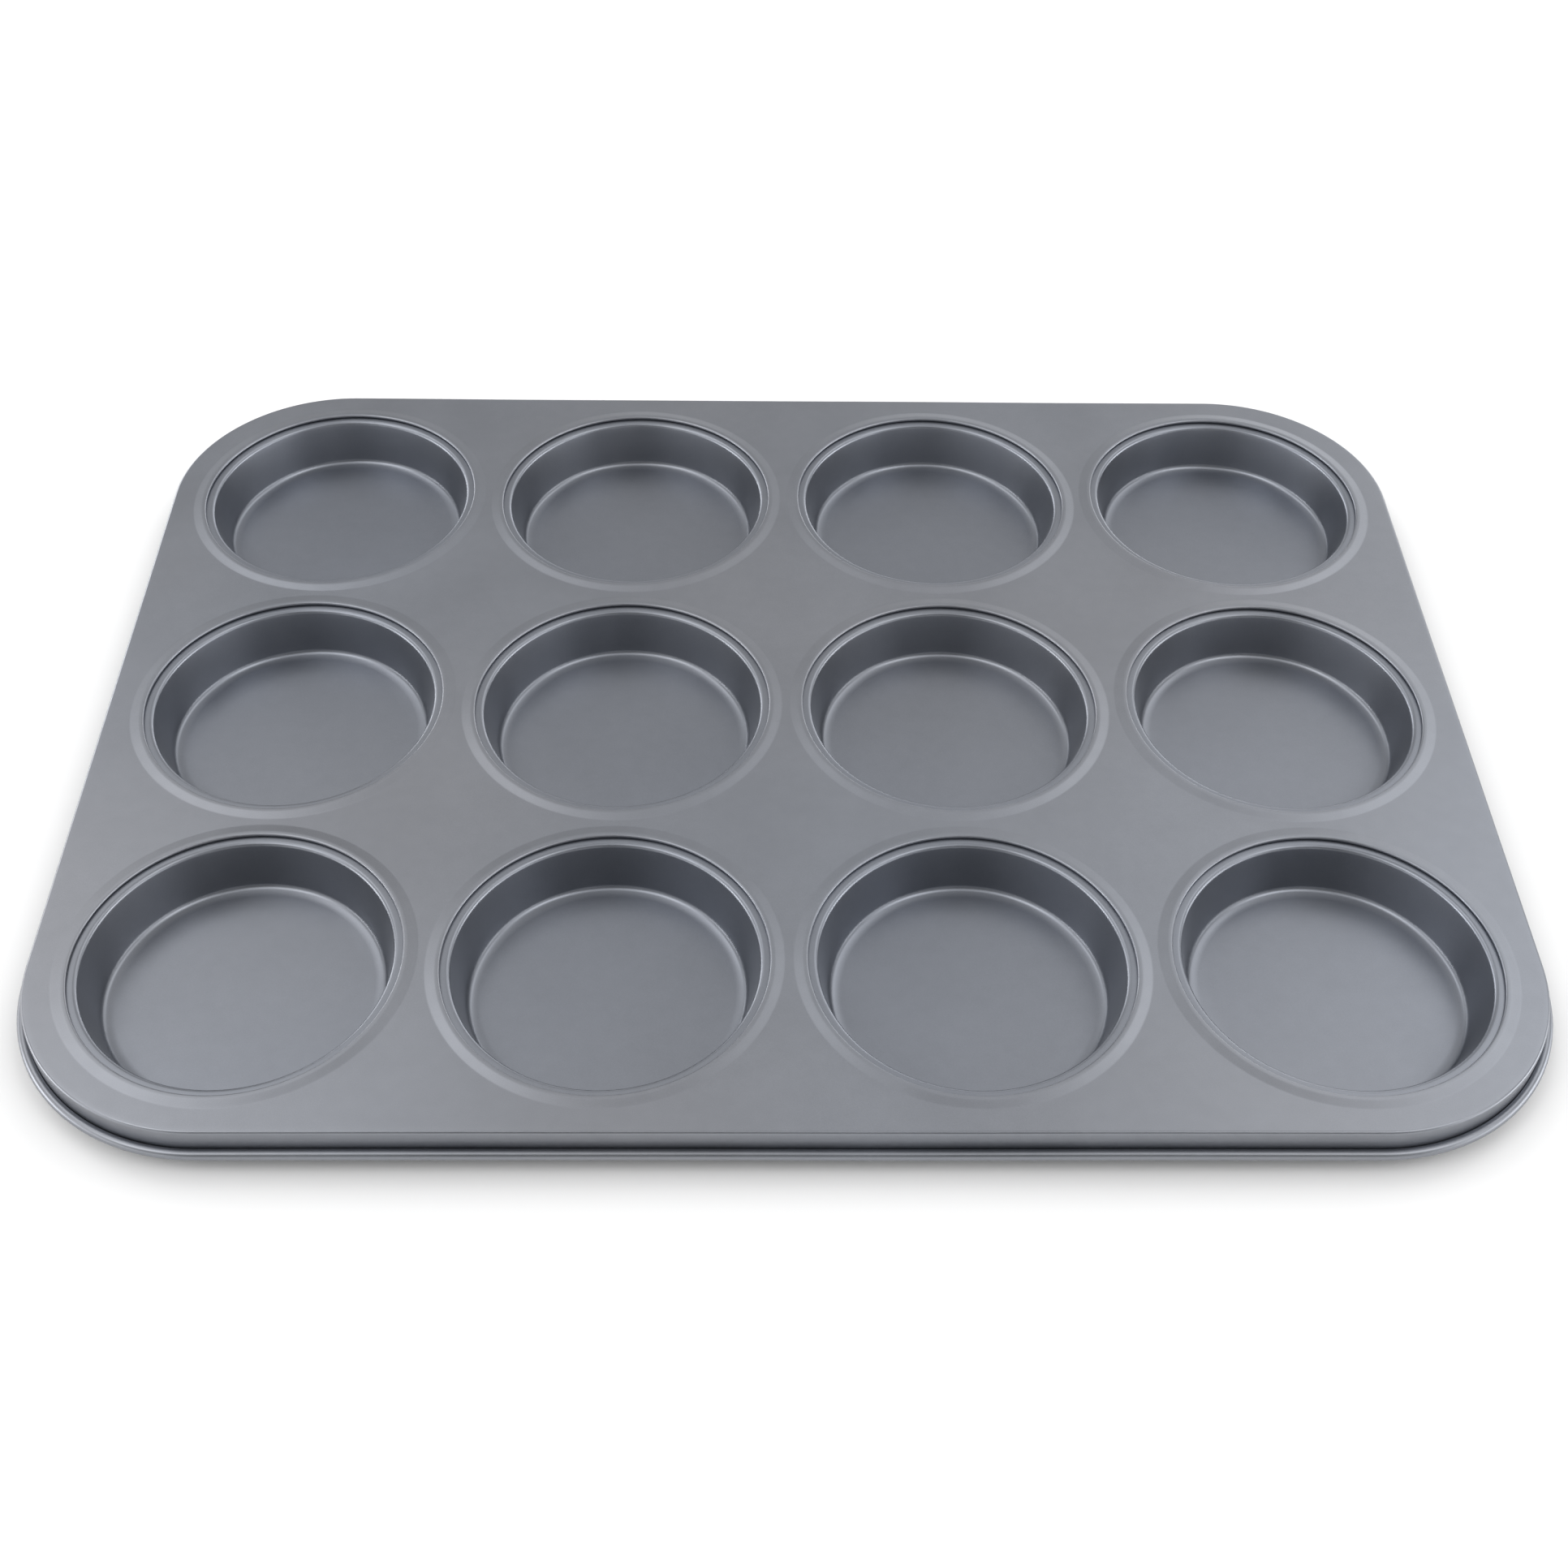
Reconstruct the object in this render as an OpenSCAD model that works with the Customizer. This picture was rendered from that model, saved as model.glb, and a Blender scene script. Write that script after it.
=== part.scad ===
// Twelve-cup muffin tin: a pressed frame sheet, a wire in its rolled edge and
// twelve drawn cups, each held in the frame by a folded lock seam.
// Millimetres, +Z up, +Y to the rear. The origin is the centre of the face the
// tin rests on: z = 0 is the underside of the cup floors.

/* [Layout] */
// Number of cups along the long side
cols = 4; // [4]
// Number of cups along the short side
rows = 3; // [3]
// Distance between neighbouring cup centres
pitch = 89.6; // [89.4:0.1:96]
// Flat border between a seam and the outside of the skirt
border = 10.2; // [8:0.1:16]
// Outside radius of the frame's corners
corner_r = 48.6; // [38:0.2:50]

/* [Sheet] */
// Thickness of the frame sheet and of the cup sheet
sheet_t = 0.3; // [0.25:0.01:0.35]
// Free space left between the layers of a seam
seam_gap = 0.04; // [0.02:0.01:0.06]

/* [Cup] */
// Depth from the cup's ledge down to its floor
cup_depth = 13.4; // [11:0.1:20]
// Radius of the circle where the ledge starts to turn down
lip_start_r = 38.85; // [38:0.05:39]
// Radius of that turn, measured on the inside of the cup
lip_r = 1.2; // [0.8:0.1:1.5]
// Lean of the cup wall from the vertical, in degrees
draft = 14.5; // [5:0.5:20]
// Inside radius between the wall and the floor
floor_r = 1.7; // [1.5:0.1:4]
// Radius of the floor's gentle rise just before that turn
ease_r = 8; // [5:0.5:12]
// How far the gentle rise turns up, in degrees
ease_angle = 14; // [4:1:20]

/* [Seam rim] */
// Radius of the frame's hole edge, where the seam shows
seam_r = 40.15; // [40:0.05:40.5]
// Height of the raised rim above the flat deck
rim_rise = 0.34; // [0.3:0.01:0.4]
// Slope of the rim's outer side, in degrees
rim_slope = 8; // [7:0.5:10]
// Radius of the turn from the rim's flat top to its outer side
crest_r = 3; // [2:0.1:4]
// Width of the rim's flat top, outside the hole's rounded edge
rim_land = 0.5; // [0.3:0.05:0.6]
// Radius of the turn from the rim's outer side to the flat deck
foot_r = 3; // [1:0.5:4]

/* [Rolled edge] */
// Outside radius of the bend from the deck to the skirt
bend_r = 0.8; // [0.6:0.1:2]
// Distance from the deck down to the middle of the wire
bead_drop = 7.1; // [5:0.1:8]
// Diameter of the wire in the rolled edge
wire_d = 2; // [1.8:0.1:2.6]
// Free space left between the wire and the sheet round it
wire_gap = 0.06; // [0.04:0.01:0.1]
// Gap between the two ends of the wire loop
wire_split = 1; // [0.5:0.5:3]

/* [Hidden] */

$fn = 96;
arc_step = 10;

coating = [0.51, 0.53, 0.56];
bare_steel = [0.72, 0.72, 0.70];

// Distance between the middles of two neighbouring seam layers
layer = sheet_t + seam_gap;

// Levels of the upper faces
ledge_z = sheet_t + cup_depth;
crest_z = ledge_z + 3 * layer;
deck_z = crest_z - rim_rise;

// Middle of the sheet on the rim, from the hole outward
fold_center_r = seam_r + layer + sheet_t / 2;
crest_end_r = fold_center_r + rim_land;
mid_crest_z = crest_z - sheet_t / 2;
slope_start_r = crest_end_r + crest_r * sin(rim_slope);
slope_drop = rim_rise - (crest_r + foot_r) * (1 - cos(rim_slope));
slope_run = slope_drop / tan(rim_slope);
foot_center_r = slope_start_r + slope_run + foot_r * sin(rim_slope);

// How far the deck plate reaches into the rims and the rolled edge
deck_overlap = 0.5;
foot_flat = 0.1;
deck_hole_r = foot_center_r + foot_flat;

// Length of the lock along the rim's slope
lock_len = 1;

// Rolled edge, in distance p outward from the centre of a corner
skirt_p = corner_r - sheet_t / 2;
curl_r = wire_d / 2 + wire_gap + sheet_t / 2;
bead_p = skirt_p + curl_r;
bead_z = deck_z - bead_drop;
curl_end = 135;
deck_inset = 4;

// Half sizes of the rectangle through the four corner centres
corner_x = (cols - 1) / 2 * pitch + seam_r + border - corner_r;
corner_y = (rows - 1) / 2 * pitch + seam_r + border - corner_r;

function arc(center, r, from, to) =
    let (steps = max(3, ceil(abs(to - from) / arc_step)))
    [for (i = [0 : steps])
        let (a = from + (to - from) * i / steps)
            center + r * [cos(a), sin(a)]];

function unit(v) = v / norm(v);

// Direction of a path at one of its points
function heading(path, i) =
    unit(path[min(i + 1, len(path) - 1)] - path[max(i - 1, 0)]);

function left_of(v) = [-v[1], v[0]];

// Outline of a sheet of constant thickness that follows a path
function sheet_outline(path) = concat(
    [for (i = [0 : len(path) - 1])
        path[i] + sheet_t / 2 * left_of(heading(path, i))],
    [for (i = [len(path) - 1 : -1 : 0])
        path[i] - sheet_t / 2 * left_of(heading(path, i))]
);

// A point at distance s along the rim's slope, in the layer that is this far down
function slope_point(s, down) =
    [crest_end_r, mid_crest_z - crest_r]
    + (crest_r - down) * [sin(rim_slope), cos(rim_slope)]
    + s * [cos(rim_slope), -sin(rim_slope)];

// The turn at the edge of the rim's flat top, in the layer that is this far down
function crest_path(down) =
    arc([crest_end_r, mid_crest_z - crest_r], crest_r - down, 90, 90 - rim_slope);

function reversed(path) = [for (i = [len(path) - 1 : -1 : 0]) path[i]];

// Frame sheet round a hole: from the deck over the rim, round the hole edge and back under
function collar_path() = concat(
    [[deck_hole_r + deck_overlap, deck_z - sheet_t / 2]],
    arc([foot_center_r, deck_z - sheet_t / 2 + foot_r], foot_r, 270, 270 - rim_slope),
    reversed(crest_path(0)),
    arc([fold_center_r, mid_crest_z - layer], layer, 90, 270),
    crest_path(2 * layer),
    [slope_point(lock_len - seam_gap, 2 * layer)]
);

// Cup sheet: floor, wall, ledge, out under the frame's fold, up and back over it
function cup_path() =
    let (
        floor_mid = sheet_t / 2,
        ledge_mid = ledge_z - sheet_t / 2,
        lip_mid_r = lip_r - sheet_t / 2,
        floor_mid_r = floor_r + sheet_t / 2,
        ease_mid_r = ease_r + sheet_t / 2,
        ease_step = (ease_mid_r - floor_mid_r) * [sin(ease_angle), -cos(ease_angle)],
        lip_z = ledge_mid - lip_mid_r,
        fillet_z = floor_mid + ease_mid_r + ease_step[1],
        wall_top = [lip_start_r - lip_mid_r * cos(draft), lip_z + lip_mid_r * sin(draft)],
        wall_foot_z = fillet_z - floor_mid_r * sin(draft),
        wall_foot_r = wall_top[0] - (wall_top[1] - wall_foot_z) * tan(draft),
        fillet_center_r = wall_foot_r - floor_mid_r * cos(draft),
        ease_center = [fillet_center_r, fillet_z] - ease_step,
        flat_r = ease_center[0] - 2,
        turn = slope_point(lock_len, 2 * layer)
    )
    concat(
        [[0, floor_mid], [flat_r, floor_mid]],
        arc(ease_center, ease_mid_r, 270, 270 + ease_angle),
        arc([fillet_center_r, fillet_z], floor_mid_r, 270 + ease_angle + arc_step, 360 - draft),
        arc([lip_start_r, lip_z], lip_mid_r, 180 - draft, 90),
        crest_path(3 * layer),
        arc(turn, layer, -90 - rim_slope, 90 - rim_slope),
        reversed(crest_path(layer)),
        [[fold_center_r, mid_crest_z - layer]]
    );

// Frame sheet at the perimeter: deck, bend, skirt and the curl round the wire
function edge_path() = concat(
    [[corner_r - deck_inset - deck_overlap, deck_z - sheet_t / 2]],
    arc([corner_r - bend_r, deck_z - bend_r], bend_r - sheet_t / 2, 90, 0),
    arc([bead_p, bead_z], curl_r, 180, 360 + curl_end)
);

// Runs a profile, drawn as distance from the corner centres and height, round the tin
module round_the_tin() {
    for (side = [-1, 1]) {
        for (end = [-1, 1])
            translate([side * corner_x, end * corner_y, 0])
                rotate(end > 0 ? (side > 0 ? 0 : 90) : (side > 0 ? 270 : 180))
                    rotate_extrude(angle = 90)
                        children();
        translate([side * corner_x, side * corner_y, 0])
            rotate([90, 0, side > 0 ? 0 : 180])
                linear_extrude(2 * corner_y)
                    children();
        translate([-side * corner_x, side * corner_y, 0])
            rotate([90, 0, side > 0 ? 90 : 270])
                linear_extrude(2 * corner_x)
                    children();
    }
}

function cup_center(row, col) =
    [(col - (cols + 1) / 2) * pitch, (row - (rows + 1) / 2) * pitch, 0];

module deck() {
    deck_r = corner_r - deck_inset;
    translate([0, 0, deck_z - sheet_t])
        linear_extrude(sheet_t)
            difference() {
                union() {
                    square([2 * (corner_x + deck_r), 2 * corner_y], center = true);
                    square([2 * corner_x, 2 * (corner_y + deck_r)], center = true);
                    for (x = [-corner_x, corner_x], y = [-corner_y, corner_y])
                        translate([x, y])
                            circle(deck_r);
                }
                for (row = [1 : rows], col = [1 : cols])
                    translate(cup_center(row, col))
                        circle(deck_hole_r);
            }
}

module frame() {
    color(coating)
        union() {
            deck();
            for (row = [1 : rows], col = [1 : cols])
                translate(cup_center(row, col))
                    rotate_extrude()
                        polygon(sheet_outline(collar_path()));
            round_the_tin()
                polygon(sheet_outline(edge_path()));
        }
}

module rim_wire() {
    color(bare_steel)
        difference() {
            round_the_tin()
                translate([bead_p, bead_z])
                    circle(d = wire_d);
            translate([0, corner_y + bead_p, bead_z])
                cube([wire_split, 2 * wire_d, 2 * wire_d], center = true);
        }
}

module cup(row, col) {
    color(coating)
        translate(cup_center(row, col))
            rotate_extrude()
                polygon(sheet_outline(cup_path()));
}

frame();
rim_wire();
cup(1, 1);  // cup_row1_col1
cup(1, 2);  // cup_row1_col2
cup(1, 3);  // cup_row1_col3
cup(1, 4);  // cup_row1_col4
cup(2, 1);  // cup_row2_col1
cup(2, 2);  // cup_row2_col2
cup(2, 3);  // cup_row2_col3
cup(2, 4);  // cup_row2_col4
cup(3, 1);  // cup_row3_col1
cup(3, 2);  // cup_row3_col2
cup(3, 3);  // cup_row3_col3
cup(3, 4);  // cup_row3_col4
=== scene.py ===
import math

import bpy
import numpy as np
from mathutils import Matrix, Vector


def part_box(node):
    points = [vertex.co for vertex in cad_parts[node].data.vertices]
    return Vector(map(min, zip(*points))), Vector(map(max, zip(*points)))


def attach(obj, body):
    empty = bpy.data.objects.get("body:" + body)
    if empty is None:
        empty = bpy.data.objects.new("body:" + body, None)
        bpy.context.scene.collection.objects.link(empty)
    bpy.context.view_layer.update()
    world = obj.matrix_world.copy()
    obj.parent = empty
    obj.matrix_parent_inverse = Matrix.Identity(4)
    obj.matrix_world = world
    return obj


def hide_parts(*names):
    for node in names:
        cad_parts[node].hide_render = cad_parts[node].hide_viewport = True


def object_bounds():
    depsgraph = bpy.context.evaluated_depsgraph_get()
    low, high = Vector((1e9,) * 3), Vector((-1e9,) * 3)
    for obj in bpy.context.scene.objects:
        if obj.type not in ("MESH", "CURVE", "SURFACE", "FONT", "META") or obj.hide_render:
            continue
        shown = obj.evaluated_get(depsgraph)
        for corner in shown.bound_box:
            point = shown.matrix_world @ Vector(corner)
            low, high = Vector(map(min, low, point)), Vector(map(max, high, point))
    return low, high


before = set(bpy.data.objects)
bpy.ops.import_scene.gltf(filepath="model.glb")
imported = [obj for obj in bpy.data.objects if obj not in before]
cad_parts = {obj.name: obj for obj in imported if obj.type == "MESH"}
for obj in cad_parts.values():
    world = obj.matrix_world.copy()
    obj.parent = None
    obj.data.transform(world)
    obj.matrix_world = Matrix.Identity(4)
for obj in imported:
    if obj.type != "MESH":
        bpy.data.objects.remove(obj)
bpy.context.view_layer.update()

# ---------------------------------------------------------------- sizes, in metres
MM = 0.001
HALF_PI = math.pi / 2
COLS = 4
ROWS = 3
SHEET = 0.30 * MM
SEAM_GAP = 0.04 * MM
LAYER = SHEET + SEAM_GAP

# the cup: its floor rises gently first, then turns tightly into the wall
LIP_START_R = 38.85 * MM
LIP_R = 1.2 * MM
DRAFT = math.radians(14.5)
FLOOR_R = 1.7 * MM
EASE_R = 8.0 * MM
EASE_ANGLE = math.radians(14)

# the raised rim round each hole
SEAM_R = 40.15 * MM
RIM_RISE = 0.34 * MM
RIM_SLOPE = math.radians(8)
CREST_R = 3.0 * MM
FOOT_R = 3.0 * MM
RIM_LAND = 0.5 * MM
LOCK_LEN = 1.0 * MM

# the perimeter: a bend, a skirt, and an edge curled round a wire
CORNER_R = 48.6 * MM
BEND_R = 0.8 * MM
BEAD_DROP = 7.1 * MM
WIRE_R = 1.0 * MM
WIRE_GAP = 0.06 * MM
WIRE_SPLIT = 1.0 * MM
CURL_END = math.radians(135)
DECK_INSET = 4.0 * MM

# depth of the pressed sheet's slow waves
RIPPLE_DEPTH = 0.05 * MM

# faint waves at the turn of a cup's floor: how many round the cup, and their depth
MARKS = ((2, 0.05 * MM), (3, 0.05 * MM), (5, 0.035 * MM), (8, 0.02 * MM))
MARKS_R = 33.2 * MM
MARKS_WIDTH = 2.2 * MM

# mesh density
AROUND = 144
SIDE_STEPS = AROUND // 4
ARC_STEP = math.radians(7)
FLOOR_CENTER_R = 1.5 * MM
FLOOR_RINGS = 9
WALL_RINGS = 8
LEDGE_RINGS = 4
SLOPE_RINGS = 4
DECK_RINGS = 5
DECK_START = 0.1 * MM
BORDER_RINGS = 3
SKIRT_RINGS = 4
WIRE_SIDES = 24
SHARP_ANGLE = math.radians(50)
MERGE_DISTANCE = 0.001 * MM

# ---------------------------------------------------------------- places, from the frame
_, frame_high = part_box("frame")
SEAM_CLEAR = 3 * LAYER
CREST_Z = frame_high.z
LEDGE_Z = CREST_Z - SEAM_CLEAR
DECK_Z = CREST_Z - RIM_RISE
MID_CREST_Z = CREST_Z - SHEET / 2
FOLD_CENTER_R = SEAM_R + LAYER + SHEET / 2
CREST_END_R = FOLD_CENTER_R + RIM_LAND
CURL_R = WIRE_R + WIRE_GAP + SHEET / 2
BEAD_P = CORNER_R - SHEET / 2 + CURL_R
BEAD_Z = DECK_Z - BEAD_DROP
CORNER_X = frame_high.x - BEAD_P - CURL_R - SHEET / 2
CORNER_Y = frame_high.y - BEAD_P - CURL_R - SHEET / 2


def cup_name(row, col):
    return f"cup_row{row}_col{col}"


def cup_center(row, col):
    """Middle of a cup in plan, from its CAD node."""
    low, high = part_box(cup_name(row, col))
    return Vector(((low.x + high.x) / 2, (low.y + high.y) / 2, 0))


CENTERS = {
    (row, col): cup_center(row, col)
    for row in range(1, ROWS + 1)
    for col in range(1, COLS + 1)
}
PITCH = (CENTERS[1, 2] - CENTERS[1, 1]).length


# ---------------------------------------------------------------- profiles
def arc(center, radius, start, end):
    """Points of an arc from angle start to angle end, as (r, z) pairs."""
    r, z = center
    steps = max(3, math.ceil(abs(end - start) / ARC_STEP))
    angles = [start + (end - start) * i / steps for i in range(steps + 1)]
    return [(r + radius * math.cos(a), z + radius * math.sin(a)) for a in angles]


def line(start, end, steps):
    """Points strictly between start and end."""
    a, b = np.array(start), np.array(end)
    return [tuple(a + (b - a) * i / steps) for i in range(1, steps)]


def crest_path(down):
    """The turn at the edge of the rim's flat top, in the sheet layer that is this far down."""
    center = (CREST_END_R, MID_CREST_Z - CREST_R)
    return arc(center, CREST_R - down, HALF_PI, HALF_PI - RIM_SLOPE)


def slope_point(along, down):
    """A point on the rim's slope, in the sheet layer that is this far down."""
    s, c = math.sin(RIM_SLOPE), math.cos(RIM_SLOPE)
    r = CREST_END_R + (CREST_R - down) * s + along * c
    z = MID_CREST_Z - CREST_R + (CREST_R - down) * c - along * s
    return (r, z)


def foot_center_r():
    """Radius at which the rim's slope has run out into the flat deck."""
    turn = 1 - math.cos(RIM_SLOPE)
    run = (RIM_RISE - (CREST_R + FOOT_R) * turn) / math.tan(RIM_SLOPE)
    return CREST_END_R + (CREST_R + FOOT_R) * math.sin(RIM_SLOPE) + run


def collar_profile():
    """Middle of the frame sheet from the deck over the rim, round the hole edge and back under."""
    foot_center = (foot_center_r(), DECK_Z - SHEET / 2 + FOOT_R)
    foot = arc(foot_center, FOOT_R, 3 * HALF_PI, 3 * HALF_PI - RIM_SLOPE)
    crest = crest_path(0)[::-1]
    fold = arc((FOLD_CENTER_R, MID_CREST_Z - LAYER), LAYER, HALF_PI, 3 * HALF_PI)
    return (
        [(foot_center_r() + DECK_START, DECK_Z - SHEET / 2)]
        + foot
        + line(foot[-1], crest[0], SLOPE_RINGS)
        + crest
        + fold
        + crest_path(2 * LAYER)
        + [slope_point(LOCK_LEN - SEAM_GAP, 2 * LAYER)]
    )


def cup_profile():
    """Middle of the cup sheet: floor, wall, ledge, out under the frame's fold, up and back over it."""
    lip_mid = LIP_R - SHEET / 2
    floor_mid = FLOOR_R + SHEET / 2
    ease_mid = EASE_R + SHEET / 2
    step_r = (ease_mid - floor_mid) * math.sin(EASE_ANGLE)
    step_z = (ease_mid - floor_mid) * math.cos(EASE_ANGLE)
    lip_z = LEDGE_Z - SHEET / 2 - lip_mid
    fillet_z = SHEET / 2 + ease_mid - step_z
    top = (LIP_START_R - lip_mid * math.cos(DRAFT), lip_z + lip_mid * math.sin(DRAFT))
    foot_z = fillet_z - floor_mid * math.sin(DRAFT)
    foot_r = top[0] - (top[1] - foot_z) * math.tan(DRAFT)
    fillet_r = foot_r - floor_mid * math.cos(DRAFT)
    ease_end = 3 * HALF_PI + EASE_ANGLE
    ease = arc((fillet_r - step_r, fillet_z + step_z), ease_mid, 3 * HALF_PI, ease_end)
    fillet = arc((fillet_r, fillet_z), floor_mid, ease_end, 4 * HALF_PI - DRAFT)[1:]
    lip = arc((LIP_START_R, lip_z), lip_mid, math.pi - DRAFT, HALF_PI)
    turn = slope_point(LOCK_LEN, 2 * LAYER)
    under = crest_path(3 * LAYER)
    return (
        [(0.0, SHEET / 2), (FLOOR_CENTER_R, SHEET / 2)]
        + line((FLOOR_CENTER_R, SHEET / 2), ease[0], FLOOR_RINGS)
        + ease
        + fillet
        + line(fillet[-1], lip[0], WALL_RINGS)
        + lip
        + line(lip[-1], under[0], LEDGE_RINGS)
        + under
        + arc(turn, LAYER, -HALF_PI - RIM_SLOPE, HALF_PI - RIM_SLOPE)
        + crest_path(LAYER)[::-1]
        + [(FOLD_CENTER_R, MID_CREST_Z - LAYER)]
    )


def edge_profile():
    """Middle of the frame sheet at the perimeter, as distance from the corner centres and height."""
    start = (CORNER_R - DECK_INSET, DECK_Z - SHEET / 2)
    bend = arc((CORNER_R - BEND_R, DECK_Z - BEND_R), BEND_R - SHEET / 2, HALF_PI, 0)
    curl = arc((BEAD_P, BEAD_Z), CURL_R, math.pi, 2 * math.pi + CURL_END)
    return (
        [start]
        + line(start, bend[0], BORDER_RINGS)
        + bend
        + line(bend[-1], curl[0], SKIRT_RINGS)
        + curl
    )


def profile_normals(profile):
    """Unit normals on the left of the path, as (r, z) pairs."""
    points = np.array(profile)
    ahead = np.vstack([points[1:], points[-1:]])
    behind = np.vstack([points[:1], points[:-1]])
    heading = ahead - behind
    heading /= np.linalg.norm(heading, axis=1)[:, None]
    return np.column_stack([-heading[:, 1], heading[:, 0]])


# ---------------------------------------------------------------- the sheet's slight unevenness
def ripple(points):
    """Height of the pressed sheet's slow waves: sines of 6 to 17 cm from crest to crest."""
    x, y = points[..., 0], points[..., 1]
    waves = np.sin(x * 41 + 0.7) * np.cos(y * 37 + 1.9)
    waves += 0.6 * np.sin(x * 73 - y * 59 + 0.4)
    waves += 0.4 * np.cos(x * 23 + y * 97 + 2.6)
    return waves * RIPPLE_DEPTH


def draw_marks(points, row, col):
    """Height of the faint waves that drawing the sheet leaves where a cup's floor turns up."""
    center = CENTERS[row, col]
    x, y = points[..., 0] - center.x, points[..., 1] - center.y
    angle = np.arctan2(y, x)
    near = np.exp(-(((np.hypot(x, y) - MARKS_R) / MARKS_WIDTH) ** 2))
    phases = np.random.default_rng(10 * row + col).uniform(0, 2 * math.pi, len(MARKS))
    waves = 0
    for (count, depth), phase in zip(MARKS, phases):
        waves = waves + depth * np.cos(count * angle + phase)
    return waves * near


# ---------------------------------------------------------------- mesh builder
class Sheet:
    """Collects quads of a sheet's middle surface, then gives them the sheet's thickness."""

    def __init__(self):
        self.points, self.normals, self.faces = [], [], []
        self.count = 0

    def grid(self, points, normals, wrap=False):
        """Adds quads over a grid of points (rows, columns, 3). wrap joins its last column to its first."""
        rows, cols = points.shape[:2]
        index = np.arange(rows * cols).reshape(rows, cols) + self.count
        ahead = np.roll(index, -1, axis=1)
        if not wrap:
            index, ahead = index[:, :-1], ahead[:, :-1]
        quads = np.stack([index[:-1], index[1:], ahead[1:], ahead[:-1]], axis=-1)
        self.points.append(points.reshape(-1, 3))
        self.normals.append(np.broadcast_to(normals, points.shape).reshape(-1, 3))
        self.faces.append(quads.reshape(-1, 4))
        self.count += rows * cols

    def merged(self):
        """Points, normals and faces with coincident points joined."""
        points, normals = np.vstack(self.points), np.vstack(self.normals)
        faces = np.vstack(self.faces)
        keys = np.round(points / MERGE_DISTANCE).astype(np.int64)
        _, first, inverse = np.unique(keys, axis=0, return_index=True, return_inverse=True)
        return points[first], normals[first], inverse.reshape(-1)[faces]

    def build(self, name):
        """Makes the closed solid: upper side, lower side, and walls along the sheet's free edges."""
        points, normals, faces = self.merged()
        points[:, 2] += ripple(points)
        count = len(points)
        upper, lower = points + normals * SHEET / 2, points - normals * SHEET / 2
        edges = np.vstack([faces[:, [i, (i + 1) % 4]] for i in range(4)])
        edges = edges[edges[:, 0] != edges[:, 1]]
        codes = edges[:, 0] * count + edges[:, 1]
        twins = edges[:, 1] * count + edges[:, 0]
        rim = edges[~np.isin(codes, twins)]
        walls = np.column_stack([rim[:, 1], rim[:, 0], rim[:, 0] + count, rim[:, 1] + count])
        all_faces = np.vstack([faces, faces[:, ::-1] + count, walls])
        return solid(name, np.vstack([upper, lower]), [unrepeated(f) for f in all_faces.tolist()])


def unrepeated(face):
    """A face without repeated corners: a quad at a cup's centre becomes a triangle."""
    return [v for i, v in enumerate(face) if v != face[i - 1]]


def solid(name, points, faces):
    """Object with a smooth-shaded mesh that stays crisp at its sharp edges."""
    mesh = bpy.data.meshes.new(name)
    mesh.from_pydata(points.tolist(), [], faces)
    mesh.validate()
    mesh.update()
    mesh.shade_smooth()
    mesh.set_sharp_from_angle(angle=SHARP_ANGLE)
    return link(name, mesh)


def link(name, data):
    """Adds an object with this mesh or camera to the scene."""
    piece = bpy.data.objects.new(name, data)
    bpy.context.scene.collection.objects.link(piece)
    return piece


def revolved(profile, center, angles):
    """Grid of points and normals: one row per profile point, one column per angle."""
    path, side = np.array(profile), profile_normals(profile)
    around = np.stack([np.cos(angles), np.sin(angles)], axis=-1)
    points = np.empty((len(path), len(angles), 3))
    normals = np.empty_like(points)
    points[..., :2] = path[:, None, :1] * around[None] + np.array(center[:2])
    points[..., 2] = path[:, None, 1]
    normals[..., :2] = side[:, None, :1] * around[None]
    normals[..., 2] = side[:, None, 1]
    return points, normals


# ---------------------------------------------------------------- the perimeter
def cell_turn():
    """Angles round a cup, starting at its cell's front right corner and going anticlockwise."""
    return -math.pi / 4 + 2 * math.pi * np.arange(AROUND) / AROUND


def side_fractions():
    """Positions from -1 to 1 along a cell's side, as seen at equal angles from its centre."""
    return np.tan(np.linspace(-math.pi / 4, math.pi / 4, SIDE_STEPS + 1))


def corner_columns(sign_x, sign_y):
    """Perimeter columns round a corner cup, anticlockwise. A column is a base point and its outward way."""
    cell_x = (COLS / 2 - 1) * PITCH
    cell_y = (ROWS / 2 - 1) * PITCH
    run_x, run_y = CORNER_X - cell_x, CORNER_Y - cell_y
    turn = CORNER_R * HALF_PI
    columns = []
    for i in range(2 * SIDE_STEPS + 1):
        s = (run_y + turn + run_x) * i / (2 * SIDE_STEPS)
        if s < run_y:
            base, angle = Vector((CORNER_X, cell_y + s)), 0.0
        elif s < run_y + turn:
            base, angle = Vector((CORNER_X, CORNER_Y)), (s - run_y) / CORNER_R
        else:
            base, angle = Vector((CORNER_X - (s - run_y - turn), CORNER_Y)), HALF_PI
        columns.append((base, Vector((math.cos(angle), math.sin(angle)))))
    mirrored = [
        (Vector((b.x * sign_x, b.y * sign_y)), Vector((n.x * sign_x, n.y * sign_y)))
        for b, n in columns
    ]
    return mirrored if sign_x * sign_y > 0 else mirrored[::-1]


def side_columns(start, end, outward):
    """Perimeter columns beside one cup in the middle of a side."""
    middle, half = (Vector(start) + Vector(end)) / 2, (Vector(end) - Vector(start)) / 2
    return [(middle + half * f, Vector(outward)) for f in side_fractions()]


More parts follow.
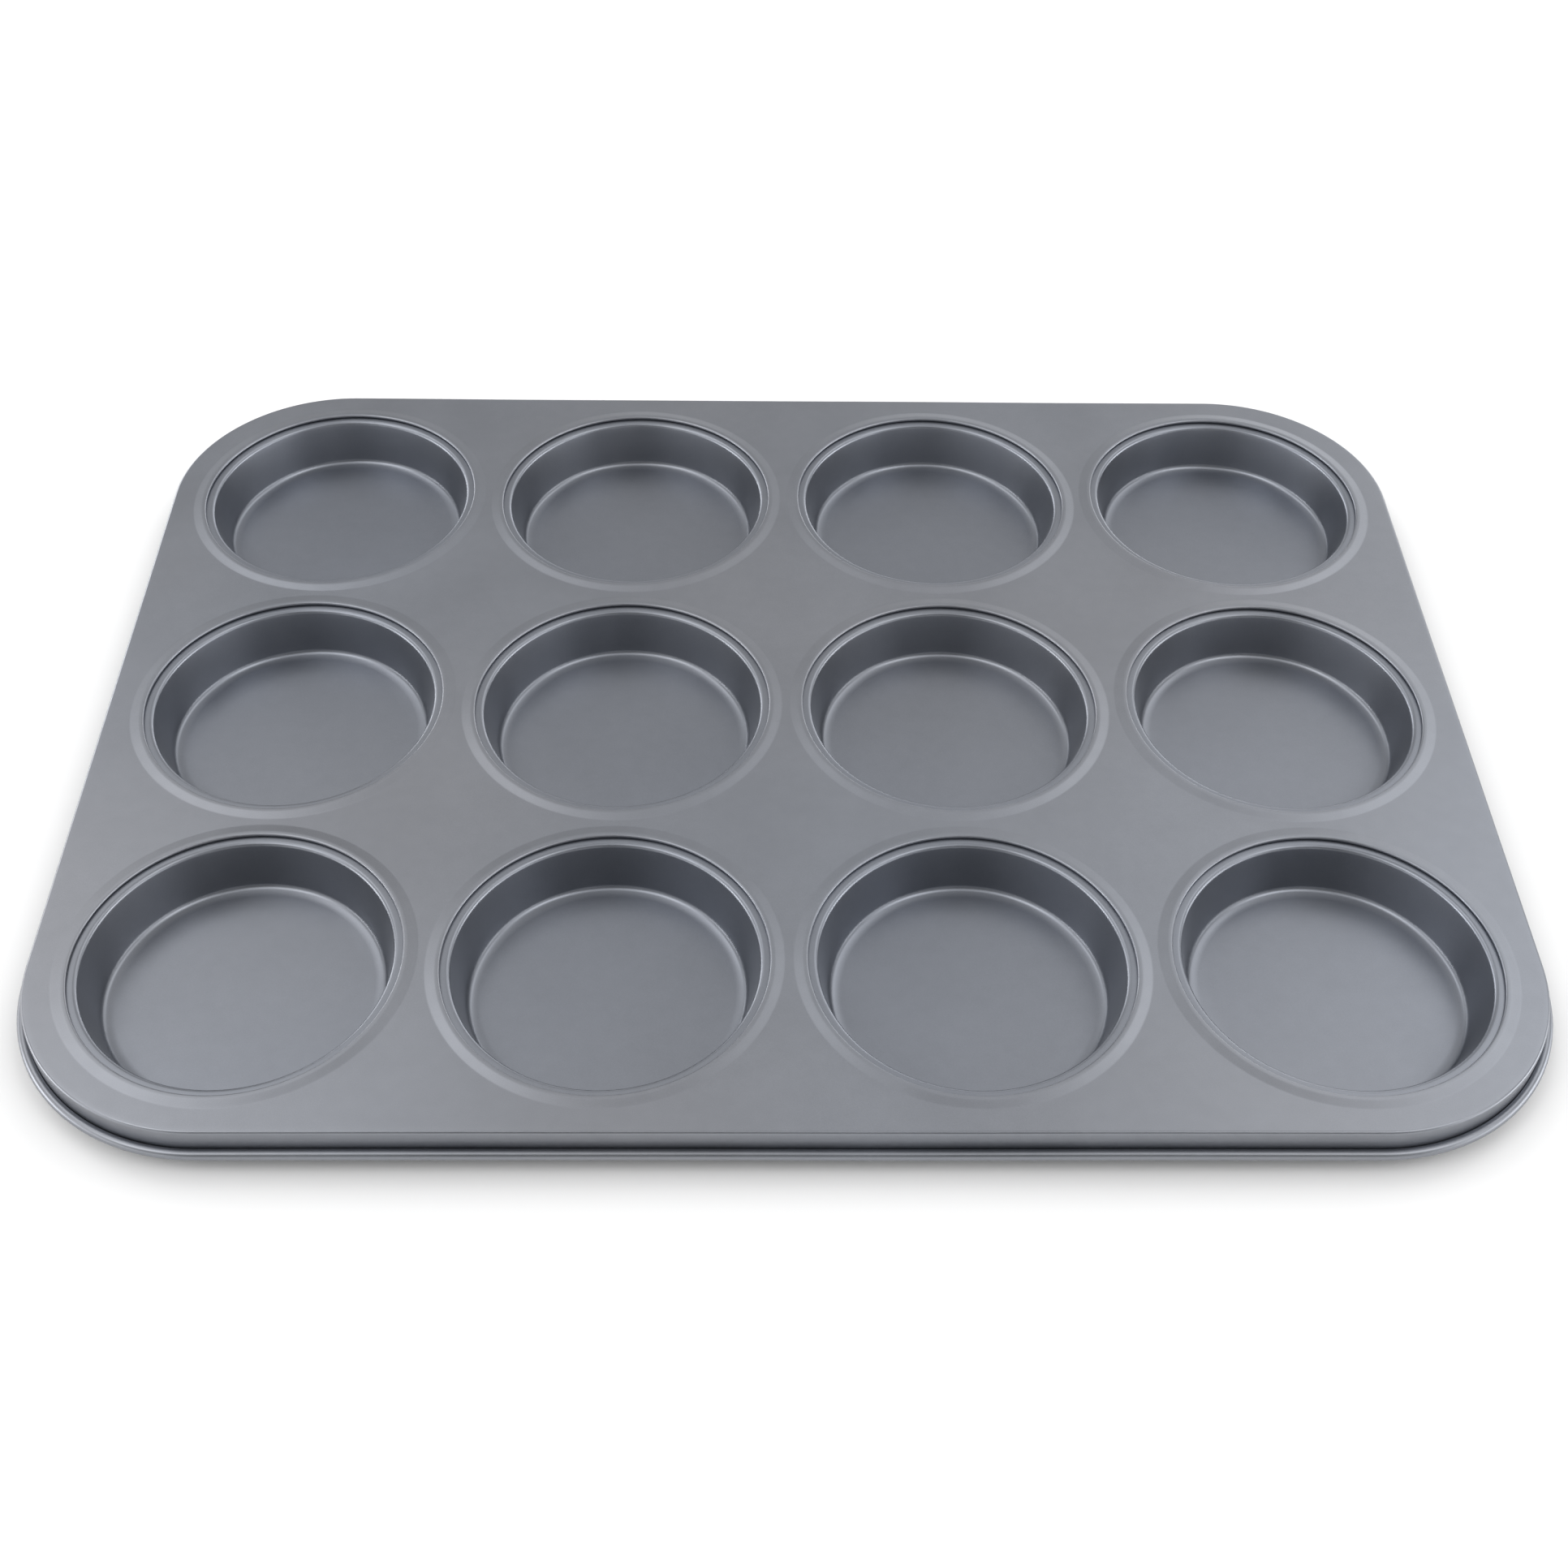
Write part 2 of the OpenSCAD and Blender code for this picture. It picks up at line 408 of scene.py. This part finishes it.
def cell_columns(row, col):
    """The perimeter columns that border a cup's cell, anticlockwise, or none."""
    left, right = col == 1, col == COLS
    front, rear = row == 1, row == ROWS
    if (left or right) and (front or rear):
        return corner_columns(1 if right else -1, 1 if rear else -1)
    x, y, _ = CENTERS[row, col]
    half = PITCH / 2
    if right:
        return side_columns((CORNER_X, y - half), (CORNER_X, y + half), (1, 0))
    if rear:
        return side_columns((x + half, CORNER_Y), (x - half, CORNER_Y), (0, 1))
    if left:
        return side_columns((-CORNER_X, y + half), (-CORNER_X, y - half), (-1, 0))
    if front:
        return side_columns((x - half, -CORNER_Y), (x + half, -CORNER_Y), (0, -1))
    return []


def perimeter_columns():
    """Every perimeter column once, anticlockwise from the front right corner's cell."""
    cells = (
        [(row, COLS) for row in range(1, ROWS + 1)]
        + [(ROWS, col) for col in range(COLS - 1, 0, -1)]
        + [(row, 1) for row in range(ROWS - 1, 0, -1)]
        + [(1, col) for col in range(2, COLS)]
    )
    columns = []
    for row, col in cells:
        columns += cell_columns(row, col)[:-1]
    return columns


def swept(profile, columns):
    """Grid of points and normals: one row per profile point, one column per perimeter column."""
    path, side = np.array(profile), profile_normals(profile)
    base = np.array([tuple(b) for b, _ in columns])
    out = np.array([tuple(n) for _, n in columns])
    points = np.empty((len(path), len(columns), 3))
    normals = np.empty_like(points)
    points[..., :2] = base[None] + path[:, None, :1] * out[None]
    points[..., 2] = path[:, None, 1]
    normals[..., :2] = side[:, None, :1] * out[None]
    normals[..., 2] = side[:, None, 1]
    return points, normals


# ---------------------------------------------------------------- the pieces
def cell_outline(row, col):
    """Outer points of the deck round a cup, one for each angle, anticlockwise from the front right."""
    center = CENTERS[row, col]
    half = PITCH / 2
    reach = CORNER_R - DECK_INSET
    right = CORNER_X + reach if col == COLS else center.x + half
    left = -CORNER_X - reach if col == 1 else center.x - half
    rear = CORNER_Y + reach if row == ROWS else center.y + half
    front = -CORNER_Y - reach if row == 1 else center.y - half
    corners = [(right, front), (right, rear), (left, rear), (left, front)]
    outline = []
    for i in range(4):
        a, b = Vector(corners[i]), Vector(corners[(i + 1) % 4])
        outline += [(a + b) / 2 + (b - a) / 2 * f for f in side_fractions()[:-1]]
    columns = [base + out * reach for base, out in cell_columns(row, col)]
    if columns:
        first = first_outer_side(row, col) * SIDE_STEPS
        for i, point in enumerate(columns):
            outline[(first + i) % AROUND] = point
    return np.array([(p.x, p.y, DECK_Z - SHEET / 2) for p in outline])


def first_outer_side(row, col):
    """Index of the first of a cell's outer sides, anticlockwise: 0 right, 1 rear, 2 left, 3 front."""
    outer = [col == COLS, row == ROWS, col == 1, row == 1]
    for side in range(4):
        if outer[side] and not outer[side - 1]:
            return side


def frame_sheet():
    """The deck with its twelve rims and its rolled edge, as one sheet."""
    sheet = Sheet()
    up = np.array([0.0, 0.0, 1.0])
    for (row, col), center in CENTERS.items():
        points, normals = revolved(collar_profile(), center, cell_turn())
        sheet.grid(points[:, ::-1], -normals[:, ::-1], wrap=True)
        inner, outer = points[0], cell_outline(row, col)
        share = np.linspace(0, 1, DECK_RINGS + 1)[:, None, None]
        sheet.grid(inner + (outer - inner) * share, up, wrap=True)
    sheet.grid(*swept(edge_profile(), perimeter_columns()), wrap=True)
    return sheet.build("frame_sheet")


def cup_shell(row, col):
    """One cup with its flange folded into the frame's rim."""
    sheet = Sheet()
    points, normals = revolved(cup_profile(), CENTERS[row, col], cell_turn())
    points[..., 2] += draw_marks(points, row, col)
    sheet.grid(points, normals, wrap=True)
    return sheet.build(cup_name(row, col) + "_shell")


def edge_wire():
    """Wire loop in the rolled edge, cut square at the middle of the rear side."""
    ring = [
        (BEAD_P + WIRE_R * math.cos(a), BEAD_Z + WIRE_R * math.sin(a))
        for a in np.linspace(0, 2 * math.pi, WIRE_SIDES, endpoint=False)
    ]
    columns = perimeter_columns()
    split = min(range(len(columns)), key=lambda i: (columns[i][0] - Vector((0, CORNER_Y))).length)
    first, last = ((Vector((x, CORNER_Y)), Vector((0, 1))) for x in (-WIRE_SPLIT / 2, WIRE_SPLIT / 2))
    points, _ = swept(ring, [first] + columns[split + 1:] + columns[:split] + [last])
    points[..., 2] += ripple(points)
    index = np.arange(points.shape[0] * points.shape[1]).reshape(points.shape[:2])
    beside = np.roll(index, -1, axis=0)
    sides = np.stack([index[:, :-1], index[:, 1:], beside[:, 1:], beside[:, :-1]], axis=-1)
    ends = [index[:, 0].tolist(), index[::-1, -1].tolist()]
    return solid("edge_wire", points.reshape(-1, 3), sides.reshape(-1, 4).tolist() + ends)


# ---------------------------------------------------------------- materials
# the two colours that each coating drifts between
FRAME_HUES = (0.243, 0.25, 0.271), (0.237, 0.25, 0.278)
CUP_HUES = (0.239, 0.25, 0.276), (0.235, 0.25, 0.283)
FRAME_LIGHTNESS = 1.02
CUP_LIGHTNESS = 0.96
STEEL_HUES = (0.6, 0.6, 0.59), (0.5, 0.49, 0.47)
FLOOR_WHITE = (0.9, 0.9, 0.9, 1)
FLOOR_ROUGHNESS = 0.8
FLOOR_SHINE = 0.1

# the coating's patterns, as noise scales: the higher, the finer
DRIFT_SCALE = 7
CLOUD_SCALE = 26
RUB_SCALE = 90
MOTTLE_SCALE = 260
PEEL_SCALE = 1500
GRAIN_SCALE = 5200

# how far each pattern takes the coating's brightness up and down
CLOUD_SHADE = 0.025
MOTTLE_SHADE = 0.015
GRAIN_SHADE = 0.04

# the coating's roughness, and how far each pattern takes it up and down
SATIN = 0.37
CLOUD_SATIN = 0.02
GRAIN_SATIN = 0.02
RUB_POLISH = 0.01

# the faint orange-peel surface of the coating
PEEL_DEPTH = 0.01 * MM
PEEL_STRENGTH = 0.25

# the bare wire: dulled in patches, with fine lines from drawing
DULLING_SCALE = 60
DULLING_ROUGHNESS = 0.26, 0.4
DRAW_LINE_SCALE = 2400
DRAW_LINE_SHADE = 0.07
DRAW_LINE_DEPTH = 0.005 * MM
DRAW_LINE_STRENGTH = 0.3

# most of a noise texture's values lie in this range
NOISE_LOW = 0.3
NOISE_HIGH = 0.7


class Shading:
    """Short calls for building a node tree. A value is a node's output or a number."""

    def __init__(self, tree):
        self.nodes, self.links = tree.nodes, tree.links

    def put(self, value, socket):
        """Links or sets one input."""
        if isinstance(value, bpy.types.NodeSocket):
            self.links.new(value, socket)
        else:
            socket.default_value = value

    def place(self):
        """Position in the tin's frame, in metres."""
        return self.nodes.new("ShaderNodeTexCoord").outputs["Object"]

    def math(self, operation, first, second=0.0):
        """Result of one arithmetic step. Some operations take only the first value."""
        node = self.nodes.new("ShaderNodeMath")
        node.operation = operation
        self.put(first, node.inputs[0])
        self.put(second, node.inputs[1])
        return node.outputs[0]

    def noise(self, place, scale, detail=2.0):
        """Value of a noise pattern at a place, from 0 to 1."""
        node = self.nodes.new("ShaderNodeTexNoise")
        node.inputs["Scale"].default_value = scale
        node.inputs["Detail"].default_value = detail
        self.put(place, node.inputs["Vector"])
        return node.outputs["Fac"]

    def spread(self, value, low, high):
        """Maps a noise value's usual range onto low to high."""
        node = self.nodes.new("ShaderNodeMapRange")
        self.put(NOISE_LOW, node.inputs["From Min"])
        self.put(NOISE_HIGH, node.inputs["From Max"])
        self.put(low, node.inputs["To Min"])
        self.put(high, node.inputs["To Max"])
        self.put(value, node.inputs["Value"])
        return node.outputs["Result"]

    def swing(self, value, middle, reach):
        """Maps a noise value's usual range onto middle, give or take reach."""
        return self.spread(value, middle - reach, middle + reach)

    def blend(self, share, first, second):
        """Colour between two colours, by a share from 0 to 1."""
        node = self.nodes.new("ShaderNodeMix")
        node.data_type = "RGBA"
        factor, first_color, second_color = node.inputs[0], node.inputs[6], node.inputs[7]
        self.put(share, factor)
        self.put((*first, 1), first_color)
        self.put((*second, 1), second_color)
        return node.outputs[2]

    def shaded(self, color, shade):
        """A colour made lighter or darker by a factor."""
        node = self.nodes.new("ShaderNodeVectorMath")
        node.operation = "SCALE"
        self.put(color, node.inputs[0])
        self.put(shade, node.inputs["Scale"])
        return node.outputs[0]

    def bump(self, height, depth, strength):
        """Normal of a surface that a height from 0 to 1 raises by up to depth."""
        node = self.nodes.new("ShaderNodeBump")
        self.put(strength, node.inputs["Strength"])
        self.put(depth, node.inputs["Distance"])
        self.put(height, node.inputs["Height"])
        return node.outputs["Normal"]


def new_material(name):
    """A material, the calls to build it with, and the inputs of its surface shader."""
    material = bpy.data.materials.new(name)
    material.use_nodes = True
    shading = Shading(material.node_tree)
    shading.nodes.clear()
    output = shading.nodes.new("ShaderNodeOutputMaterial")
    shader = shading.nodes.new("ShaderNodeBsdfPrincipled")
    shading.links.new(shader.outputs["BSDF"], output.inputs["Surface"])
    return material, shading, shader.inputs


def coating(name, hues, lightness):
    """Baked-on non-stick coating: dark, satin, with a fine metallic grain."""
    material, shading, surface = new_material(name)
    place = shading.place()
    drift = shading.noise(place, DRIFT_SCALE, detail=1.0)
    clouds = shading.noise(place, CLOUD_SCALE)
    rubs = shading.noise(place, RUB_SCALE, detail=4.0)
    mottle = shading.noise(place, MOTTLE_SCALE)
    peel = shading.noise(place, PEEL_SCALE)
    grain = shading.noise(place, GRAIN_SCALE, detail=1.0)

    hue = shading.blend(shading.spread(drift, 0, 1), *hues)
    shade = shading.swing(clouds, lightness, lightness * CLOUD_SHADE)
    shade = shading.math("MULTIPLY", shade, shading.swing(mottle, 1, MOTTLE_SHADE))
    shade = shading.math("MULTIPLY", shade, shading.swing(grain, 1, GRAIN_SHADE))
    roughness = shading.swing(clouds, SATIN, CLOUD_SATIN)
    roughness = shading.math("ADD", roughness, shading.swing(grain, 0, GRAIN_SATIN))
    roughness = shading.math("ADD", roughness, shading.swing(rubs, 0, -RUB_POLISH))

    shading.put(shading.shaded(hue, shade), surface["Base Color"])
    shading.put(roughness, surface["Roughness"])
    shading.put(1.0, surface["Metallic"])
    shading.put(shading.bump(peel, PEEL_DEPTH, PEEL_STRENGTH), surface["Normal"])
    return material


def wire_steel():
    """Bare drawn wire: fine draw lines and slight dulling."""
    material, shading, surface = new_material("wire_steel")
    place = shading.place()
    dulling = shading.noise(place, DULLING_SCALE, detail=3.0)
    lines = shading.noise(place, DRAW_LINE_SCALE, detail=1.0)
    hue = shading.blend(shading.spread(dulling, 0, 1), *STEEL_HUES)
    shade = shading.swing(lines, 1, DRAW_LINE_SHADE)
    shading.put(shading.shaded(hue, shade), surface["Base Color"])
    shading.put(shading.spread(dulling, *DULLING_ROUGHNESS), surface["Roughness"])
    shading.put(1.0, surface["Metallic"])
    shading.put(shading.bump(lines, DRAW_LINE_DEPTH, DRAW_LINE_STRENGTH), surface["Normal"])
    return material


def floor_paint():
    """Plain matt white of the stage floor."""
    material, shading, surface = new_material("floor_paint")
    shading.put(FLOOR_WHITE, surface["Base Color"])
    shading.put(FLOOR_ROUGHNESS, surface["Roughness"])
    shading.put(FLOOR_SHINE, surface["Specular IOR Level"])
    return material


# ---------------------------------------------------------------- assembly
def fit(piece, node, material):
    """Gives a piece its material and puts it in the place of a CAD node."""
    piece.data.materials.append(material)
    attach(piece, "root")
    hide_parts(node)


def muffin_tin():
    """The sheet, the twelve cups and the wire, each in place of its CAD node."""
    frame_coating = coating("frame_coating", FRAME_HUES, FRAME_LIGHTNESS)
    cup_coating = coating("cup_coating", CUP_HUES, CUP_LIGHTNESS)
    fit(frame_sheet(), "frame", frame_coating)
    for row, col in CENTERS:
        fit(cup_shell(row, col), cup_name(row, col), cup_coating)
    fit(edge_wire(), "rim_wire", wire_steel())


# ---------------------------------------------------------------- stage
FLOOR_REACH = 3.0

# soft light sources round the tin: azimuth and elevation in degrees, and radiance at the middle
SOFT_LIGHTS = (
    (-150, 5, 1.7),
    (-120, 5, 2.4),
    (-90, 5, 7.3),
    (-45, 5, 5.6),
    (0, 5, 1.7),
    (30, 5, 3.7),
    (75, 5, 2.0),
    (90, 5, 5.3),
    (120, 5, 3.6),
    (165, 5, 1.4),
    (0, 42, 0.6),
    (45, 42, 1.5),
    (-120, 55, 4.0),
    (-60, 55, 0.5),
    (-45, 55, 2.6),
    (45, 55, 1.6),
    (120, 55, 4.0),
    (-150, 68, 0.7),
)
# how quickly a light fades away from its middle
LIGHT_NARROWNESS = 25

# the camera looks forward and down at the target, turned a little sideways and about its own axis:
# angles in degrees, lens and sensor in millimetres
CAMERA_TARGET = Vector((-0.79, -30.76, 14.45)) * MM
CAMERA_DISTANCE = 533.67 * MM
CAMERA_ELEVATION = 46.44
CAMERA_AZIMUTH = 1.329
CAMERA_ROLL = 1.146
CAMERA_LENS = 46.42
CAMERA_SENSOR = 36


def aim(azimuth, elevation):
    """Direction from angles in degrees. Azimuth 0 is towards the rear, positive to the right."""
    a, e = math.radians(azimuth), math.radians(elevation)
    return Vector((math.sin(a) * math.cos(e), math.cos(a) * math.cos(e), math.sin(e)))


def stage_floor():
    """Plain floor at the tin's lowest point."""
    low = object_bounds()[0].z
    corners = [(-1, -1), (1, -1), (1, 1), (-1, 1)]
    mesh = bpy.data.meshes.new("floor")
    mesh.from_pydata([(FLOOR_REACH * x, FLOOR_REACH * y, low) for x, y in corners], [], [(0, 1, 2, 3)])
    mesh.materials.append(floor_paint())
    link("floor", mesh)


def world_light():
    """Studio of soft lights with blurred borders, and darkness between them."""
    world = bpy.data.worlds.new("studio")
    bpy.context.scene.world = world
    world.use_nodes = True
    shading = Shading(world.node_tree)
    direction = shading.nodes.new("ShaderNodeTexCoord").outputs["Generated"]
    total = 0.0
    for azimuth, elevation, radiance in SOFT_LIGHTS:
        dot = shading.nodes.new("ShaderNodeVectorMath")
        dot.operation = "DOT_PRODUCT"
        shading.put(direction, dot.inputs[0])
        shading.put(aim(azimuth, elevation), dot.inputs[1])
        away = shading.math("SUBTRACT", dot.outputs["Value"], 1.0)
        glow = shading.math("EXPONENT", shading.math("MULTIPLY", away, LIGHT_NARROWNESS))
        total = shading.math("ADD", total, shading.math("MULTIPLY", glow, radiance))
    background = shading.nodes["Background"].inputs
    shading.put(total, background["Strength"])
    shading.put((1, 1, 1, 1), background["Color"])


def camera():
    """Camera in front of the tin, looking down at it."""
    data = bpy.data.cameras.new("camera")
    data.lens = CAMERA_LENS
    data.sensor_width = CAMERA_SENSOR
    piece = link("camera", data)
    bpy.context.scene.camera = piece
    forward = aim(CAMERA_AZIMUTH, -CAMERA_ELEVATION)
    right = aim(CAMERA_AZIMUTH + 90, 0)
    up = right.cross(forward)
    roll = math.radians(CAMERA_ROLL)
    side = right * math.cos(roll) + up * math.sin(roll)
    top = up * math.cos(roll) - right * math.sin(roll)
    turn = Matrix((side, top, -forward)).transposed()
    piece.matrix_world = Matrix.Translation(CAMERA_TARGET - forward * CAMERA_DISTANCE) @ turn.to_4x4()


muffin_tin()
stage_floor()
world_light()
camera()
bpy.context.scene.view_settings.view_transform = "Standard"
